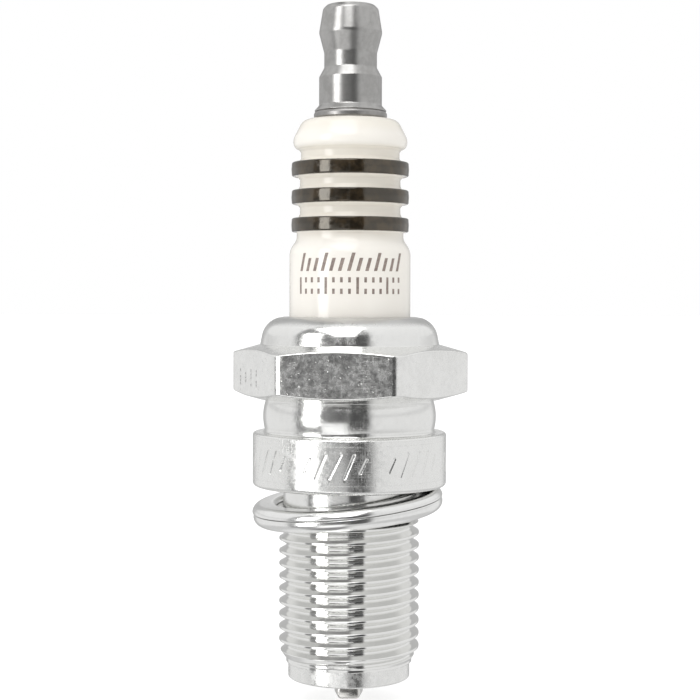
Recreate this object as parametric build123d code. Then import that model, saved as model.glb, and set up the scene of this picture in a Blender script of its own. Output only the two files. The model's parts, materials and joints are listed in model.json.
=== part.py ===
from build123d import *
import math
import os

# Spark plug with an M14 x 1.25 thread, 19 mm reach and a removable terminal nut.
# Millimetres. The axis is Z; z = 0 is the gasket seat, the flat underside of the shell's
# collar, and the terminal end points to +Z.

# Mounting thread, M14 x 1.25
THREAD_R = 6.95
THREAD_DEPTH = 0.715
THREAD_PITCH = 1.25
THREAD_CREST = 0.22
THREAD_TOP = -3.3
THREAD_GROOVE_AT_X = -5.265
NECK_R = 6.55
PILOT_R = 6.03
REACH = 19.0

# Shell
HEX_ACROSS_FLATS = 20.7
HEX_CORNER_DEG = -6.8
HEX_BOTTOM = 8.6
HEX_TOP = 13.93
HEX_CORNER_ROUND = 1.6
HEX_CHAMFER_DEG = 16
HEX_FACE_R = 9.05
COLLAR_R = 9.6
COLLAR_TOP = 5.3
COLLAR_EDGE = 0.4
BULGE_R = 8.58
BULGE_FOOT_R = 8.38
BULGE_TOP_R = 8.32
DOME_FLANK_R = 8.93
DOME_R = 8.68
SHELL_BORE_R = 7.75
LIP_BORE_R = 6.13
LIP_UNDERSIDE = 15.3
LIP_TOP = 16.7
MID_BORE_R = 5.2
LEDGE_BORE_R = 4.1
NOSE_BORE_R = 4.75

# Insulator
INSULATOR_TOP = 36.2
HEAD_R = 5.66
HEAD_GROOVE_R = 4.88
GROOVE_R = 4.97
BELOW_RIBS_R = 5.28
BODY_R = 6.0
HIDDEN_BODY_R = 5.84
SHOULDER_R = 7.5
SHOULDER_TOP = 10.4
MID_BODY_R = 5.0
SEAT_OUTER_Z = -7.4
SEAT_DEG = 30
NOSE_R = 3.7
NOSE_TIP_R = 2.3
NOSE_END = -17.9
STUD_BORE_R = 1.95
ELECTRODE_BORE_R = 1.3
BORE_STEP = 0.9

# Ribs and the black glaze on them
RIB_CENTRES = (31.25, 28.50, 25.74)
RIB_HEIGHT = 1.38
RIB_LAND_R = 5.45
RIB_R = 5.83
RIB_EDGE_ROUND = 0.37

# Packing between shell and insulator
PACKING_RING_R = 6.875
PACKING_WIRE_R = 0.6
SEAT_PACKING_HEIGHT = 0.35

# Terminal stud and nut, M4 x 0.7
STUD_THREAD_R = 1.98
STUD_PITCH = 0.7
STUD_THREAD_DEPTH = 0.4
STUD_END = 42.2
FLANGE_TOP = 36.94
NUT_BOTTOM = 36.97
NUT_BORE_R = 2.06
TERMINAL_R = 3.11
TERMINAL_WAIST_R = 2.61
TERMINAL_BULB_R = 3.13
TERMINAL_TOP = 47.62
FLANGE_R = 3.62
NUT_FOOT_R = 3.56

# Conductors in the insulator's bore
STUD_LOWER_END = 14.4
GLASS_TOP = 17.6
RESISTOR_TOP = 12.6
RESISTOR_BOTTOM = 4.6
ELECTRODE_HEAD_TOP = 2.2
ELECTRODE_R = 1.25
CORE_R = 0.75
TIP_R = 0.3
TIP_END = -19.35

# Gasket: folded steel washer, hanging tilted on the neck
GASKET_INNER_R = 7.0
GASKET_OUTER_R = 9.52
GASKET_LOWER_LIP_R = 9.38
GASKET_SHIFT_X = -0.3
GASKET_HALF = 1.075
GASKET_TILT_DEG = 6.0
GASKET_HIGH_SIDE_DEG = 22
GASKET_PIVOT_R = 8.6
GASKET_GAP = 0.05

# Ground electrode
GROUND_WIDTH = 2.85
GROUND_THICK = 1.2
GROUND_LEG_Y = 5.42
GROUND_BAR_Z = -20.65
GROUND_BEND_R = 1.3
GROUND_TIP_Y = -0.75
GROUND_TIP_WIDTH = 2.0


def lathe(outline):
    """Revolve (radius, height) points about Z; a third number rounds that corner."""
    with BuildPart() as part:
        with BuildSketch(Plane.XZ) as sketch:
            with BuildLine():
                Polyline(*[(point[0], point[1]) for point in outline], close=True)
            make_face()
            for point in outline:
                if len(point) == 3:
                    corner = sketch.vertices().sort_by_distance((point[0], point[1]))[0]
                    fillet(corner, point[2])
        revolve(axis=Axis.Z)
    return part.part


def ring(inner, outer, bottom, top):
    """Plain tube section between two radii and two heights."""
    return lathe([(inner, bottom), (outer, bottom), (outer, top), (inner, top)])


def one_turn_groove(crest_r, depth, pitch, crest):
    """One right-hand turn of a 60 degree groove, starting on the +X side at height 0."""
    outer = crest_r + 0.05
    slope = math.tan(math.radians(30))
    half_mouth = (pitch - crest) / 2 + 0.05 * slope
    half_root = half_mouth - (depth + 0.05) * slope
    path = Helix(pitch=pitch, height=pitch, radius=outer)
    with BuildSketch(Plane(origin=(outer, 0, 0), x_dir=(1, 0, 0), z_dir=(0, -1, 0))) as section:
        with BuildLine():
            Polyline(
                (0, -half_mouth),
                (-depth - 0.05, -half_root),
                (-depth - 0.05, half_root),
                (0, half_mouth),
                close=True,
            )
        make_face()
    return sweep(section.sketch, path=path, is_frenet=True)


def cut_thread(blank, groove, pitch, groove_at_x, bottom, top):
    """Cut a blank turn by turn; groove_at_x is a height of the groove on the +X side."""
    turn_deg = 37
    start = groove_at_x + pitch * turn_deg / 360
    start -= pitch * math.ceil((start - bottom) / pitch + 1)
    for turn in range(math.ceil((top - start) / pitch) + 1):
        blank -= Pos(0, 0, start + turn * pitch) * Rot(0, 0, turn_deg) * groove
    return blank


def shell_upper():
    """Crimped shoulder, bulge, collar and thread-relief neck as one turned solid."""
    seat_r = COLLAR_R - COLLAR_EDGE - 0.1
    with BuildPart() as part:
        with BuildSketch(Plane.XZ):
            with BuildLine():
                Polyline((0, THREAD_TOP), (NECK_R, THREAD_TOP), (NECK_R, 0), (seat_r, 0))
                ThreePointArc(
                    (seat_r, 0),
                    (COLLAR_R - 0.13, 0.15),
                    (COLLAR_R, COLLAR_EDGE + 0.1),
                )
                Line((COLLAR_R, COLLAR_EDGE + 0.1), (COLLAR_R, COLLAR_TOP - COLLAR_EDGE))
                ThreePointArc(
                    (COLLAR_R, COLLAR_TOP - COLLAR_EDGE),
                    (COLLAR_R - 0.1, COLLAR_TOP - 0.15),
                    (COLLAR_R - COLLAR_EDGE, COLLAR_TOP),
                )
                Polyline(
                    (COLLAR_R - COLLAR_EDGE, COLLAR_TOP),
                    (BULGE_FOOT_R + 0.12, COLLAR_TOP),
                    (BULGE_FOOT_R, COLLAR_TOP + 0.3),
                )
                ThreePointArc(
                    (BULGE_FOOT_R, COLLAR_TOP + 0.3),
                    (BULGE_R, COLLAR_TOP + 1.4),
                    (BULGE_TOP_R, HEX_BOTTOM),
                )
                Polyline(
                    (BULGE_TOP_R, HEX_BOTTOM),
                    (BULGE_TOP_R, 12),
                    (DOME_FLANK_R, 12),
                    (DOME_FLANK_R, 14.1),
                    (DOME_R, 15.0),
                )
                ThreePointArc((DOME_R, 15.0), (8.02, 16.06), (6.85, LIP_TOP - 0.08))
                ThreePointArc(
                    (6.85, LIP_TOP - 0.08),
                    (6.45, LIP_TOP),
                    (LIP_BORE_R - 0.1, LIP_TOP - 0.1),
                )
                Line((LIP_BORE_R - 0.1, LIP_TOP - 0.1), (0, LIP_TOP - 0.1))
                Line((0, LIP_TOP - 0.1), (0, THREAD_TOP))
            make_face()
        revolve(axis=Axis.Z)
    return part.part


def shell_hex():
    """Wrench hexagon with rounded corners and slightly crowned chamfers above and below."""
    with BuildPart() as part:
        with BuildSketch(Plane.XY.offset(HEX_BOTTOM)):
            RegularPolygon(
                HEX_ACROSS_FLATS / 2, 6, major_radius=False, rotation=HEX_CORNER_DEG
            )
        extrude(amount=HEX_TOP - HEX_BOTTOM)
        fillet(part.edges().filter_by(Axis.Z), HEX_CORNER_ROUND)
    outer = 12.2
    middle = (HEX_FACE_R + outer) / 2
    rise = (outer - HEX_FACE_R) * math.tan(math.radians(HEX_CHAMFER_DEG))
    crown = 0.02
    with BuildPart() as envelope:
        with BuildSketch(Plane.XZ):
            with BuildLine():
                Polyline((0, HEX_TOP), (0, HEX_BOTTOM), (HEX_FACE_R, HEX_BOTTOM))
                ThreePointArc(
                    (HEX_FACE_R, HEX_BOTTOM),
                    (middle, HEX_BOTTOM + rise / 2 - crown),
                    (outer, HEX_BOTTOM + rise),
                )
                Line((outer, HEX_BOTTOM + rise), (outer, HEX_TOP - rise))
                ThreePointArc(
                    (outer, HEX_TOP - rise),
                    (middle, HEX_TOP - rise / 2 + crown),
                    (HEX_FACE_R, HEX_TOP),
                )
                Line((HEX_FACE_R, HEX_TOP), (0, HEX_TOP))
            make_face()
        revolve(axis=Axis.Z)
    return part.part & envelope.part


def shell_thread():
    """Threaded length with its run-out chamfers, and the plain pilot end."""
    bottom = -17.5
    groove = one_turn_groove(THREAD_R, THREAD_DEPTH, THREAD_PITCH, THREAD_CREST)
    blank = ring(LEDGE_BORE_R, THREAD_R, bottom, THREAD_TOP)
    thread = cut_thread(blank, groove, THREAD_PITCH, THREAD_GROOVE_AT_X, bottom, THREAD_TOP)
    run_out = lathe(
        [
            (0, THREAD_TOP),
            (NECK_R, THREAD_TOP),
            (THREAD_R + 0.4, THREAD_TOP - 0.5),
            (THREAD_R + 0.4, -15.65),
            (PILOT_R - 0.1, bottom - 0.05),
            (0, bottom - 0.05),
        ]
    )
    pilot = lathe(
        [
            (LEDGE_BORE_R, -17.2),
            (PILOT_R, -17.2),
            (PILOT_R, -REACH, 0.1),
            (LEDGE_BORE_R, -REACH),
        ]
    )
    return (thread & run_out) + pilot


def seat_line(radius):
    """Height of the insulator's conical seat at a radius."""
    return SEAT_OUTER_Z - (MID_BODY_R - radius) * math.tan(math.radians(SEAT_DEG))


def metal_shell():
    """Plated steel shell, bored for the insulator with an internal sealing ledge."""
    cavity = lathe(
        [
            (0, LIP_TOP + 1),
            (LIP_BORE_R, LIP_TOP + 1),
            (LIP_BORE_R, LIP_UNDERSIDE, 0.3),
            (SHELL_BORE_R, LIP_UNDERSIDE, 0.45),
            (SHELL_BORE_R, 4.2, 0.5),
            (MID_BORE_R, 1.9, 0.5),
            (MID_BORE_R, seat_line(MID_BORE_R) - SEAT_PACKING_HEIGHT),
            (LEDGE_BORE_R, seat_line(LEDGE_BORE_R) - SEAT_PACKING_HEIGHT),
            (LEDGE_BORE_R, -9.4),
            (NOSE_BORE_R, -9.9),
            (NOSE_BORE_R, -REACH - 1),
            (0, -REACH - 1),
        ]
    )
    return shell_upper() + shell_hex() + shell_thread() - cavity


def insulator():
    """Alumina insulator: ribbed head, plain body, hidden shoulder and tapered nose."""
    with BuildPart() as part:
        with BuildSketch(Plane.XZ):
            with BuildLine():
                Line((STUD_BORE_R, INSULATOR_TOP), (4.1, INSULATOR_TOP))
                ThreePointArc((4.1, INSULATOR_TOP), (4.6, 36.05), (4.95, 35.65))
                Line((4.95, 35.65), (5.5, 34.6))
                ThreePointArc((5.5, 34.6), (HEAD_R, 34.0), (5.56, 33.5))
                ThreePointArc((5.56, 33.5), (5.4, 33.32), (5.12, 33.22))
                Polyline((5.12, 33.22), (HEAD_GROOVE_R, 32.95), (HEAD_GROOVE_R, 32.3))
                here = (HEAD_GROOVE_R, 32.3)
                for centre in RIB_CENTRES:
                    top = centre + RIB_HEIGHT / 2
                    base = centre - RIB_HEIGHT / 2
                    Line(here, (5.15, top))
                    Line((5.15, top), (RIB_LAND_R, top))
                    Line((RIB_LAND_R, top), (RIB_LAND_R, base))
                    Line((RIB_LAND_R, base), (BELOW_RIBS_R, base))
                    if centre != RIB_CENTRES[-1]:
                        Line((BELOW_RIBS_R, base), (GROOVE_R, base - 0.35))
                        here = (GROOVE_R, base - 0.95)
                        Line((GROOVE_R, base - 0.35), here)
                last = RIB_CENTRES[-1] - RIB_HEIGHT / 2
                Line((BELOW_RIBS_R, last), (BELOW_RIBS_R, 24.5))
                ThreePointArc((BELOW_RIBS_R, 24.5), (5.4, 24.12), (5.63, 23.8))
                ThreePointArc((5.63, 23.8), (5.85, 23.4), (BODY_R, 22.7))
                Line((BODY_R, 22.7), (BODY_R, LIP_TOP + 0.2))
                Polyline(
                    (BODY_R, LIP_TOP + 0.2),
                    (HIDDEN_BODY_R, LIP_TOP + 0.13),
                    (HIDDEN_BODY_R, SHOULDER_TOP),
                    (SHOULDER_R - 0.3, SHOULDER_TOP),
                    (SHOULDER_R, SHOULDER_TOP - 0.3),
                    (SHOULDER_R, 4.6),
                    (MID_BODY_R, 2.4),
                    (MID_BODY_R, SEAT_OUTER_Z),
                    (NOSE_R, seat_line(NOSE_R)),
                    (NOSE_R, -9.4),
                    (NOSE_TIP_R, NOSE_END + 0.3),
                )
                ThreePointArc(
                    (NOSE_TIP_R, NOSE_END + 0.3),
                    (NOSE_TIP_R - 0.1, NOSE_END + 0.09),
                    (NOSE_TIP_R - 0.3, NOSE_END),
                )
                Polyline(
                    (NOSE_TIP_R - 0.3, NOSE_END),
                    (ELECTRODE_BORE_R, NOSE_END),
                    (ELECTRODE_BORE_R, BORE_STEP - 0.4),
                    (STUD_BORE_R, BORE_STEP),
                    (STUD_BORE_R, INSULATOR_TOP),
                )
            make_face()
        revolve(axis=Axis.Z)
    return part.part


def rib_glaze(centre):
    """Band of black glaze around one rib."""
    top = centre + RIB_HEIGHT / 2
    base = centre - RIB_HEIGHT / 2
    return lathe(
        [
            (RIB_LAND_R, base),
            (RIB_R, base, RIB_EDGE_ROUND),
            (RIB_R, top, RIB_EDGE_ROUND),
            (RIB_LAND_R, top),
        ]
    )


def terminal_nut():
    """Push-on terminal with a waist for the cap's spring, bored for the stud."""
    return lathe(
        [
            (0, 44.5),
            (NUT_BORE_R, 43.4),
            (NUT_BORE_R, NUT_BOTTOM + 0.25),
            (NUT_BORE_R + 0.25, NUT_BOTTOM),
            (NUT_FOOT_R, NUT_BOTTOM),
            (NUT_FOOT_R, 37.08, 0.06),
            (TERMINAL_R, 37.58, 0.2),
            (TERMINAL_R, 40.4, 0.2),
            (TERMINAL_WAIST_R, 41.3, 0.35),
            (TERMINAL_WAIST_R, 42.75, 1.0),
            (TERMINAL_BULB_R, 44.75, 0.8),
            (2.75, 47.1, 0.5),
            (2.35, 47.5, 0.4),
            (0, TERMINAL_TOP),
        ]
    )


def terminal_stud():
    """Steel stud: M4 thread, seating flange, shank and grooved end held in the glass."""
    outline = [
        (0, STUD_LOWER_END),
        (1.35, STUD_LOWER_END),
        (1.6, STUD_LOWER_END + 0.25),
    ]
    for step in range(4):
        groove = STUD_LOWER_END + 0.7 + 0.7 * step
        outline.append((1.6, groove))
        outline.append((1.35, groove + 0.2))
        outline.append((1.6, groove + 0.4))
    outline += [
        (1.6, 19.0),
        (1.7, 19.3),
        (1.7, INSULATOR_TOP),
        (FLANGE_R - 0.18, INSULATOR_TOP),
        (FLANGE_R, INSULATOR_TOP + 0.2),
        (FLANGE_R, FLANGE_TOP - 0.2),
        (FLANGE_R - 0.12, FLANGE_TOP),
        (0, FLANGE_TOP),
    ]
    threaded = lathe(
        [
            (0, FLANGE_TOP),
            (1.5, FLANGE_TOP),
            (1.5, FLANGE_TOP + 0.4),
            (STUD_THREAD_R, FLANGE_TOP + 0.88),
            (STUD_THREAD_R, STUD_END - 0.45),
            (1.5, STUD_END),
            (0, STUD_END),
        ]
    )
    groove = one_turn_groove(STUD_THREAD_R, STUD_THREAD_DEPTH, STUD_PITCH, 0.12)
    bottom = FLANGE_TOP + 1.1
    thread = cut_thread(threaded, groove, STUD_PITCH, 38.0, bottom, STUD_END)
    return lathe(outline) + thread


def centre_electrode():
    """Nickel alloy sheath with its head on the bore step and a tapered end."""
    sheath = lathe(
        [
            (0, -18.65),
            (0.45, -18.65),
            (ELECTRODE_R, -18.2),
            (ELECTRODE_R, BORE_STEP - 0.4),
            (1.8, BORE_STEP + 0.1),
            (1.8, ELECTRODE_HEAD_TOP - 0.2),
            (1.6, ELECTRODE_HEAD_TOP),
            (0, ELECTRODE_HEAD_TOP),
        ]
    )
    return sheath - centre_electrode_core()


def centre_electrode_core():
    """Copper core that carries heat out of the electrode."""
    return lathe(
        [(0, -15.8), (0.35, -15.8), (CORE_R, -15.2), (CORE_R, 0.8), (0.4, 1.2), (0, 1.2)]
    )


def tip_weld():
    """Laser weld bead between the nickel end and the fine wire tip."""
    return lathe([(0, -18.85), (0.34, -18.85), (0.44, -18.78), (0.45, -18.65), (0, -18.65)])


def iridium_tip():
    """Fine wire firing tip."""
    return lathe([(0, TIP_END), (TIP_R, TIP_END), (TIP_R, -18.85), (0, -18.85)])


def upper_glass_seal():
    """Conductive glass around the stud's grooved end."""
    plug = lathe(
        [
            (0, RESISTOR_TOP),
            (STUD_BORE_R, RESISTOR_TOP),
            (STUD_BORE_R, GLASS_TOP),
            (0, GLASS_TOP),
        ]
    )
    return plug - terminal_stud()


def resistor():
    """Fired-in suppression resistor."""
    return lathe(
        [
            (0, RESISTOR_BOTTOM),
            (STUD_BORE_R, RESISTOR_BOTTOM),
            (STUD_BORE_R, RESISTOR_TOP),
            (0, RESISTOR_TOP),
        ]
    )


def lower_glass_seal():
    """Conductive glass on the electrode's head."""
    return lathe(
        [
            (0, ELECTRODE_HEAD_TOP),
            (1.6, ELECTRODE_HEAD_TOP),
            (1.8, ELECTRODE_HEAD_TOP - 0.2),
            (STUD_BORE_R, ELECTRODE_HEAD_TOP - 0.2),
            (STUD_BORE_R, RESISTOR_BOTTOM),
            (0, RESISTOR_BOTTOM),
        ]
    )


def packing_ring(height):
    """Steel wire ring that closes one end of the talc."""
    return Pos(0, 0, height) * Torus(PACKING_RING_R, PACKING_WIRE_R)


def talc_fill():
    """Pressed talc between the two wire rings."""
    lower = SHOULDER_TOP + PACKING_WIRE_R
    upper = LIP_UNDERSIDE - PACKING_WIRE_R
    fill = ring(HIDDEN_BODY_R, SHELL_BORE_R, lower, upper)
    return fill - packing_ring(lower) - packing_ring(upper)


def seat_packing():
    """Thin conical washer between the insulator's seat and the shell's ledge."""
    inner = 4.2
    return lathe(
        [
            (inner, seat_line(inner)),
            (MID_BODY_R, seat_line(MID_BODY_R)),
            (MID_BODY_R, seat_line(MID_BODY_R) - SEAT_PACKING_HEIGHT),
            (inner, seat_line(inner) - SEAT_PACKING_HEIGHT),
        ]
    )


def gasket():
    """Folded washer with its seam round the edge, hung by one side below the collar."""
    washer = lathe(
        [
            (GASKET_INNER_R, -GASKET_HALF, 0.5),
            (GASKET_LOWER_LIP_R, -GASKET_HALF, 0.65),
            (GASKET_LOWER_LIP_R, -0.22, 0.15),
            (8.2, -0.22),
            (8.2, -0.14),
            (GASKET_OUTER_R, -0.14, 0.2),
            (GASKET_OUTER_R, GASKET_HALF, 0.98),
            (GASKET_INNER_R, GASKET_HALF, 0.6),
        ]
    )
    side = math.radians(GASKET_HIGH_SIDE_DEG)
    top = -GASKET_GAP
    pivot = (GASKET_PIVOT_R * math.cos(side), GASKET_PIVOT_R * math.sin(side), top)
    hinge = Axis(pivot, (-math.sin(side), math.cos(side), 0))
    flat = Pos(GASKET_SHIFT_X, 0, top - GASKET_HALF) * washer
    return flat.rotate(hinge, -GASKET_TILT_DEG)


def ground_electrode():
    """Nickel strap bent from the shell's end face to below the tip, tapered at its end."""
    bend_y = GROUND_LEG_Y - GROUND_BEND_R
    bend_z = GROUND_BAR_Z + GROUND_BEND_R
    corner = GROUND_BEND_R * math.sqrt(0.5)
    with BuildPart() as part:
        with BuildLine(Plane.YZ) as path:
            Line((GROUND_LEG_Y, -REACH), (GROUND_LEG_Y, bend_z))
            ThreePointArc(
                (GROUND_LEG_Y, bend_z),
                (bend_y + corner, bend_z - corner),
                (bend_y, GROUND_BAR_Z),
            )
            Line((bend_y, GROUND_BAR_Z), (GROUND_TIP_Y, GROUND_BAR_Z))
        with BuildSketch(Plane(origin=(0, GROUND_LEG_Y, -REACH), z_dir=(0, 0, -1))):
            RectangleRounded(GROUND_WIDTH, GROUND_THICK, 0.4)
        sweep(path=path.wires()[0])
    half = GROUND_WIDTH / 2 + 0.1
    tip = GROUND_TIP_WIDTH / 2
    with BuildPart() as plan:
        with BuildSketch(Plane.XY.offset(GROUND_BAR_Z - 1)):
            with BuildLine():
                Polyline(
                    (-half, 7), (-half, 1.5), (-tip, GROUND_TIP_Y), (tip, GROUND_TIP_Y),
                    (half, 1.5), (half, 7), close=True,
                )
            make_face()
        extrude(amount=4)
    return part.part & plan.part


pieces = {
    "terminal_nut": terminal_nut(),
    "terminal_stud": terminal_stud(),
    "insulator": insulator(),
    "rib_glaze_top": rib_glaze(RIB_CENTRES[0]),
    "rib_glaze_middle": rib_glaze(RIB_CENTRES[1]),
    "rib_glaze_bottom": rib_glaze(RIB_CENTRES[2]),
    "upper_glass_seal": upper_glass_seal(),
    "resistor": resistor(),
    "lower_glass_seal": lower_glass_seal(),
    "centre_electrode": centre_electrode(),
    "centre_electrode_core": centre_electrode_core(),
    "tip_weld": tip_weld(),
    "iridium_tip": iridium_tip(),
    "metal_shell": metal_shell(),
    "upper_packing_ring": packing_ring(LIP_UNDERSIDE - PACKING_WIRE_R),
    "talc_fill": talc_fill(),
    "lower_packing_ring": packing_ring(SHOULDER_TOP + PACKING_WIRE_R),
    "seat_packing": seat_packing(),
    "gasket": gasket(),
    "ground_electrode": ground_electrode(),
}

os.makedirs("parts", exist_ok=True)
for name, piece in pieces.items():
    export_step(piece, f"parts/{name}.step")
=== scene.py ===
import json
import math

import bmesh
import bpy
import numpy as np
from mathutils import Matrix, Vector


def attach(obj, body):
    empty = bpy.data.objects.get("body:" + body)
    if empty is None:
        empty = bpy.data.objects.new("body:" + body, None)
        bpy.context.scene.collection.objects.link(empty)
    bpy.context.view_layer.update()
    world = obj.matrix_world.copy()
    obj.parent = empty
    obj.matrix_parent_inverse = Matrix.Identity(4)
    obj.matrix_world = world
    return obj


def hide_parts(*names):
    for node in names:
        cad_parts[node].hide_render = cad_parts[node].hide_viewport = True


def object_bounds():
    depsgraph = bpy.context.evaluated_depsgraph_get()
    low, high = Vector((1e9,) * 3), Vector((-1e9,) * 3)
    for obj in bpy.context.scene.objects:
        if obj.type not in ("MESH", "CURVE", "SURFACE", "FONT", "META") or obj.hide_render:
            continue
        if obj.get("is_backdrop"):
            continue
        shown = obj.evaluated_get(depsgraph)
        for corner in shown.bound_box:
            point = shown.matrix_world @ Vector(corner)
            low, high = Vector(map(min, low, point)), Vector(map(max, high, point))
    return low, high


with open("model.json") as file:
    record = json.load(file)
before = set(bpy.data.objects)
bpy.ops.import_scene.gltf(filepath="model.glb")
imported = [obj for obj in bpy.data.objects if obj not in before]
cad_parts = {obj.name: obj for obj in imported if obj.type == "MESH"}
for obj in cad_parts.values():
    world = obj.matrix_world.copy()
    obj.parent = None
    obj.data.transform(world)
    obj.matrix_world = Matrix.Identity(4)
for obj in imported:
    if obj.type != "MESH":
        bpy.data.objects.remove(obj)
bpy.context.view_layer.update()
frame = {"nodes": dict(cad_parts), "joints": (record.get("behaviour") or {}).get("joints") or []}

# Shapes are written in millimetres, like the CAD, and become metres in add_piece().
MM = 0.001
TURN = 2 * math.pi

# Sizes shared with the CAD model
HEX_HALF_FLATS = 10.35
HEX_CORNER_DEG = -6.8
HEX_ROUND = 1.6
HEX_BOTTOM = 8.6
HEX_TOP = 13.93
HEX_FACE_R = 9.05
HEX_CHAMFER = math.tan(math.radians(16))
COLLAR_R = 9.6
COLLAR_TOP = 5.3
BAND_BOTTOM = 0.9
BAND_TOP = 4.6
SEAM = 0.012
NECK_R = 6.55
PILOT_R = 6.03
THREAD_R = 6.95
THREAD_DEPTH = 0.715
HALF_CREST = 0.11
CREST_ROUND = 0.09
ROOT_ROUND = 0.08
PITCH = 1.25
THREAD_TURNS = 14
CREST_AT_X = -4.64
THREAD_TOP = -3.3
THREAD_BOTTOM = -17.45
REACH = 19.0
BODY_R = 6.0
RIB_CENTRES = (31.25, 28.50, 25.74)
RIB_HALF = 0.69
RIB_LAND_R = 5.45
RIB_R = 5.83
BULGE_BORE_R = 7.75
LIP_BORE_R = 6.13
LIP_UNDERSIDE = 15.3
SHELL_BORE_R = 5.2
STRAP_WIDTH = 2.85
STRAP_THICK = 1.2
STRAP_CORNER = 0.38
STRAP_LEG_Y = 5.42
STRAP_BAR_Z = -20.65
STRAP_BEND_R = 1.3
GASKET_HALF = 1.075
GASKET_SHIFT_X = -0.3
GASKET_OFF_SEAT = 0.05


# ---------------------------------------------------------------- mesh helpers


# Where an outline's corner is rounded: the angle that counts as straight, the most of a run that
# an arc may take, and how far past the arc a point holds the flat, in mm and as a share of the run
STRAIGHT = 1.569
ARC_SHARE = 0.45
HOLD = 0.05
HOLD_SHARE = 0.04


def rounded(points, closed=True, default=0.03):
    """Outline with every corner turned into an arc. A point is (r, z) or (r, z, radius);
    radius 0 keeps the point as it is. Extra points beside each arc keep flats flat."""
    out = []
    count = len(points)
    for i, point in enumerate(points):
        here = np.array(point[:2], float)
        radius = point[2] if len(point) > 2 else default
        if radius <= 0 or (not closed and i in (0, count - 1)):
            out.append(here)
            continue
        steps = 3 if radius < 0.1 else (5 if radius < 0.3 else 9)
        before = np.array(points[i - 1][:2], float) - here
        after = np.array(points[(i + 1) % count][:2], float) - here
        len_a = np.linalg.norm(before)
        len_b = np.linalg.norm(after)
        before /= len_a
        after /= len_b
        half = math.acos(np.clip(before @ after, -1, 1)) / 2
        if half > STRAIGHT:
            raise ValueError(f"outline point {point} is on a straight run: give it radius 0")
        cut = min(radius / math.tan(half), ARC_SHARE * len_a, ARC_SHARE * len_b)
        bisector = (before + after) / np.linalg.norm(before + after)
        centre = here + bisector * cut * math.tan(half) / math.sin(half)
        start = here + before * cut - centre
        end = here + after * cut - centre
        turn = math.pi - 2 * half
        out.append(here + before * (cut + min(HOLD, HOLD_SHARE * len_a)))
        for k in range(steps + 1):
            a = math.sin((1 - k / steps) * turn) / math.sin(turn)
            b = math.sin(k / steps * turn) / math.sin(turn)
            out.append(centre + start * a + end * b)
        out.append(here + after * (cut + min(HOLD, HOLD_SHARE * len_b)))
    return np.array(out)


def through(first, middle, last, steps=8):
    """Points of the circular arc through three points, both ends included."""
    a, b, c = (complex(*p) for p in (first, middle, last))
    w = (c - a) / (b - a)
    centre = a - (a - b) * (w - abs(w) ** 2) / 2j / w.imag
    radius = abs(a - centre)
    start = math.atan2((a - centre).imag, (a - centre).real)
    sweep = math.atan2((c - centre).imag, (c - centre).real) - start
    half = math.atan2((b - centre).imag, (b - centre).real) - start
    if not 0 < half % TURN < sweep % TURN:
        sweep = -((-sweep) % TURN)
    else:
        sweep = sweep % TURN
    points = []
    for k in range(steps + 1):
        angle = start + sweep * k / steps
        points.append(
            (centre.real + radius * math.cos(angle), centre.imag + radius * math.sin(angle), 0)
        )
    return points


def divided(outline, longest):
    """The same outline with no run longer than a length."""
    out = [outline[0]]
    for a, b in zip(outline[:-1], outline[1:]):
        parts = max(1, math.ceil(np.linalg.norm(b - a) / longest))
        for k in range(1, parts + 1):
            out.append(a + (b - a) * k / parts)
    return np.array(out)


def grid_faces(rows, columns, start=0, wrap_columns=True, wrap_rows=False):
    """Quads of a grid of points stored row by row."""
    faces = []
    for j in range(rows if wrap_rows else rows - 1):
        up = (j + 1) % rows
        for i in range(columns if wrap_columns else columns - 1):
            right = (i + 1) % columns
            faces.append(
                (
                    start + j * columns + i,
                    start + j * columns + right,
                    start + up * columns + right,
                    start + up * columns + i,
                )
            )
    return faces


def revolve(outlines, angles, closed=True):
    """Grid points and faces of outlines (one for all angles, or one per angle) turned about Z.
    An outline runs up the outside and down the inside, so that faces point outwards."""
    outlines = np.asarray(outlines, float)
    if outlines.ndim == 2:
        outlines = np.repeat(outlines[None], len(angles), axis=0)
    radius = outlines[:, :, 0].T
    height = outlines[:, :, 1].T
    points = np.stack([radius * np.cos(angles), radius * np.sin(angles), height], axis=-1)
    rows = points.shape[0]
    return points.reshape(-1, 3), grid_faces(rows, len(angles), wrap_rows=closed)


def even_angles(count):
    return np.arange(count) * TURN / count


def build_mesh(name, parts):
    """One mesh from (points, faces) parts, with shared points merged."""
    points = []
    faces = []
    for part_points, part_faces in parts:
        start = len(points)
        points.extend(map(tuple, np.asarray(part_points, float) * MM))
        faces.extend(tuple(start + v for v in face) for face in part_faces)
    mesh = bpy.data.meshes.new(name)
    mesh.from_pydata(points, [], faces)
    work = bmesh.new()
    work.from_mesh(mesh)
    bmesh.ops.remove_doubles(work, verts=work.verts, dist=2e-7)
    bmesh.ops.dissolve_degenerate(work, edges=work.edges, dist=1e-8)
    work.to_mesh(mesh)
    work.free()
    mesh.polygons.foreach_set("use_smooth", [True] * len(mesh.polygons))
    return mesh


def add_piece(name, parts, body, material, replaced=()):
    """A finished piece that rides on a body and stands for CAD nodes."""
    mesh = build_mesh(name, parts)
    mesh.materials.append(material)
    piece = bpy.data.objects.new(name, mesh)
    bpy.context.scene.collection.objects.link(piece)
    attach(piece, body)
    if replaced:
        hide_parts(*replaced)
    return piece


def turned(name, outline, body, material, replaced=(), segments=192, default=0.03):
    """A closed outline revolved about Z as a piece."""
    part = revolve(rounded(outline, default=default), even_angles(segments))
    return add_piece(name, [part], body, material, replaced)


# ---------------------------------------------------------------- materials


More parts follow.
